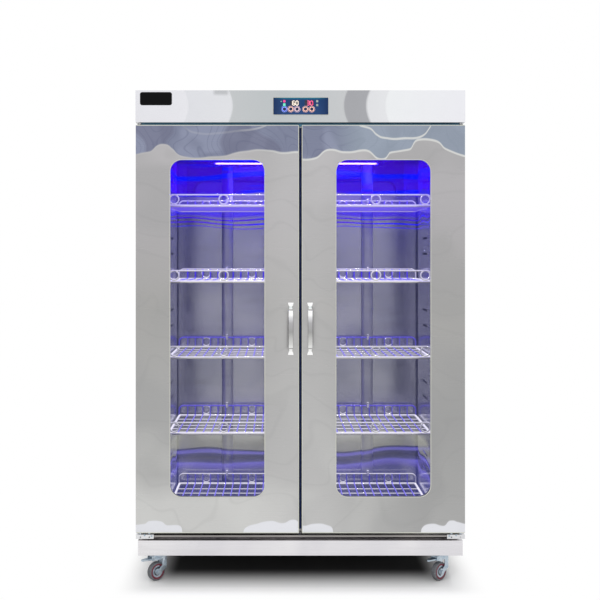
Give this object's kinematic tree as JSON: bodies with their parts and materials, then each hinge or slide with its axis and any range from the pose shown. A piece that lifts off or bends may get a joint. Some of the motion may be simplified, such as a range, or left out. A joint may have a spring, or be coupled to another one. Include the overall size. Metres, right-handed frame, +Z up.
{
  "type": "dish sterilizer cabinet",
  "caption": "Free-standing two-door stainless steel cabinet that dries and sterilizes dishes on wire shelves, with glazed doors, a germicidal lamp, hot-air circuit and casters.",
  "frame": {"origin": "on the floor under the middle of the whole cabinet, handles and cable gland included", "axes": "+Z up, the doors face -Y, +X to the right of someone who faces the doors"},
  "size_m": [1.2, 0.6564, 1.8],
  "materials": {
    "case_steel": "brushed stainless sheet",
    "liner_steel": "polished stainless sheet",
    "chrome": "polished chrome plate",
    "zinc": "bright zinc plate",
    "glass": "clear toughened glass",
    "lamp_glass": "lamp tube glass",
    "seal_rubber": "dark grey seal rubber",
    "wheel_polymer": "grey tread on a dark red ring",
    "glass_wool": "glass wool",
    "navy_plastic": "navy panel plastic",
    "black_plastic": "glossy black plastic",
    "blue_key": "blue key plastic",
    "pale_key": "pale key plastic",
    "salmon_key": "salmon key plastic",
    "board": "circuit board laminate",
    "white_plastic": "white moulded plastic",
    "motor_steel": "dark painted motor shell",
    "heater_steel": "heat-tinted steel tube"
  },
  "bodies": {
    "cabinet": {"left_side_panel": "case_steel", "right_side_panel": "case_steel", "rear_panel": "case_steel", "base_pan": "case_steel", "plinth": "case_steel", "chamber_liner": "liner_steel", "insulation_jacket": "glass_wool", "centre_post": "case_steel", "header_case": "case_steel", "header_fascia": "case_steel", "control_panel": "navy_plastic", "control_board": "board", "name_plate": "black_plastic", "cable_gland": "black_plastic", "uv_lamp": "lamp_glass", "lamp_fitting": "white_plastic", "fan_housing": "zinc", "fan_motor": "motor_steel", "ring_heater": "heater_steel", "left_air_duct": "liner_steel", "right_air_duct": "liner_steel", "left_shelf_standard": "liner_steel", "right_shelf_standard": "liner_steel", "left_hinge_bracket": "zinc", "right_hinge_bracket": "zinc", "shelf_1": "chrome", "shelf_2": "chrome", "shelf_3": "chrome", "shelf_4": "chrome", "shelf_5": "chrome", "front_left_caster_plate": "zinc", "front_right_caster_plate": "zinc", "rear_left_caster_plate": "zinc", "rear_right_caster_plate": "zinc"},
    "fan_rotor": {"fan_wheel": "zinc"},
    "left_door": {"left_door_frame": "case_steel", "left_door_liner": "liner_steel", "left_door_glass": "glass", "left_door_gasket": "seal_rubber", "left_door_handle": "chrome"},
    "right_door": {"right_door_frame": "case_steel", "right_door_liner": "liner_steel", "right_door_glass": "glass", "right_door_gasket": "seal_rubber", "right_door_handle": "chrome"},
    "power_key": {"power_button": "blue_key"},
    "lamp_key": {"lamp_button": "pale_key"},
    "heat_key": {"heat_button": "pale_key"},
    "timer_key": {"timer_button": "pale_key"},
    "start_key": {"start_button": "salmon_key"},
    "front_left_swivel": {"front_left_caster_fork": "zinc"},
    "front_left_wheel": {"front_left_caster_wheel": "wheel_polymer"},
    "front_left_brake": {"front_left_brake_pedal": "zinc"},
    "front_right_swivel": {"front_right_caster_fork": "zinc"},
    "front_right_wheel": {"front_right_caster_wheel": "wheel_polymer"},
    "front_right_brake": {"front_right_brake_pedal": "zinc"},
    "rear_left_swivel": {"rear_left_caster_fork": "zinc"},
    "rear_left_wheel": {"rear_left_caster_wheel": "wheel_polymer"},
    "rear_right_swivel": {"rear_right_caster_fork": "zinc"},
    "rear_right_wheel": {"rear_right_caster_wheel": "wheel_polymer"}
  },
  "joints": [
    {"name": "fan_spin", "type": "hinge", "parent": "cabinet", "child": "fan_rotor", "pos_m": [0, 0.144, 1.73], "axis": [0, 0, 1], "continuous": true},
    {"name": "left_door_hinge", "type": "hinge", "parent": "cabinet", "child": "left_door", "pos_m": [-0.585, -0.265, 0.19], "axis": [0, 0, -1], "range_deg": [0, 110]},
    {"name": "right_door_hinge", "type": "hinge", "parent": "cabinet", "child": "right_door", "pos_m": [0.585, -0.265, 0.19], "axis": [0, 0, 1], "range_deg": [0, 110]},
    {"name": "power_button_press", "type": "slide", "parent": "cabinet", "child": "power_key", "axis": [0, 1, 0], "range_m": [0, 0.0015], "stiffness_N_per_m": 400},
    {"name": "lamp_button_press", "type": "slide", "parent": "cabinet", "child": "lamp_key", "axis": [0, 1, 0], "range_m": [0, 0.0015], "stiffness_N_per_m": 400},
    {"name": "heat_button_press", "type": "slide", "parent": "cabinet", "child": "heat_key", "axis": [0, 1, 0], "range_m": [0, 0.0015], "stiffness_N_per_m": 400},
    {"name": "timer_button_press", "type": "slide", "parent": "cabinet", "child": "timer_key", "axis": [0, 1, 0], "range_m": [0, 0.0015], "stiffness_N_per_m": 400},
    {"name": "start_button_press", "type": "slide", "parent": "cabinet", "child": "start_key", "axis": [0, 1, 0], "range_m": [0, 0.0015], "stiffness_N_per_m": 400},
    {"name": "front_left_caster_swivel", "type": "hinge", "parent": "cabinet", "child": "front_left_swivel", "pos_m": [-0.522, -0.222, 0.1], "axis": [0, 0, 1], "continuous": true},
    {"name": "front_left_wheel_roll", "type": "hinge", "parent": "front_left_swivel", "child": "front_left_wheel", "pos_m": [-0.53106, -0.22987, 0.034], "axis": [0.6561, -0.7547, 0], "continuous": true},
    {"name": "front_left_brake_press", "type": "hinge", "parent": "front_left_swivel", "child": "front_left_brake", "pos_m": [-0.54766, -0.24431, 0.084], "axis": [0.6561, -0.7547, 0], "range_deg": [0, 10]},
    {"name": "front_right_caster_swivel", "type": "hinge", "parent": "cabinet", "child": "front_right_swivel", "pos_m": [0.522, -0.222, 0.1], "axis": [0, 0, 1], "continuous": true},
    {"name": "front_right_wheel_roll", "type": "hinge", "parent": "front_right_swivel", "child": "front_right_wheel", "pos_m": [0.51294, -0.22987, 0.034], "axis": [0.6561, -0.7547, 0], "continuous": true},
    {"name": "front_right_brake_press", "type": "hinge", "parent": "front_right_swivel", "child": "front_right_brake", "pos_m": [0.49634, -0.24431, 0.084], "axis": [0.6561, -0.7547, 0], "range_deg": [0, 10]},
    {"name": "rear_left_caster_swivel", "type": "hinge", "parent": "cabinet", "child": "rear_left_swivel", "pos_m": [-0.522, 0.244, 0.1], "axis": [0, 0, 1], "continuous": true},
    {"name": "rear_left_wheel_roll", "type": "hinge", "parent": "rear_left_swivel", "child": "rear_left_wheel", "pos_m": [-0.53119, 0.25171, 0.034], "axis": [-0.6428, -0.766, 0], "continuous": true},
    {"name": "rear_right_caster_swivel", "type": "hinge", "parent": "cabinet", "child": "rear_right_swivel", "pos_m": [0.522, 0.244, 0.1], "axis": [0, 0, 1], "continuous": true},
    {"name": "rear_right_wheel_roll", "type": "hinge", "parent": "rear_right_swivel", "child": "rear_right_wheel", "pos_m": [0.51281, 0.25171, 0.034], "axis": [-0.6428, -0.766, 0], "continuous": true}
  ]
}
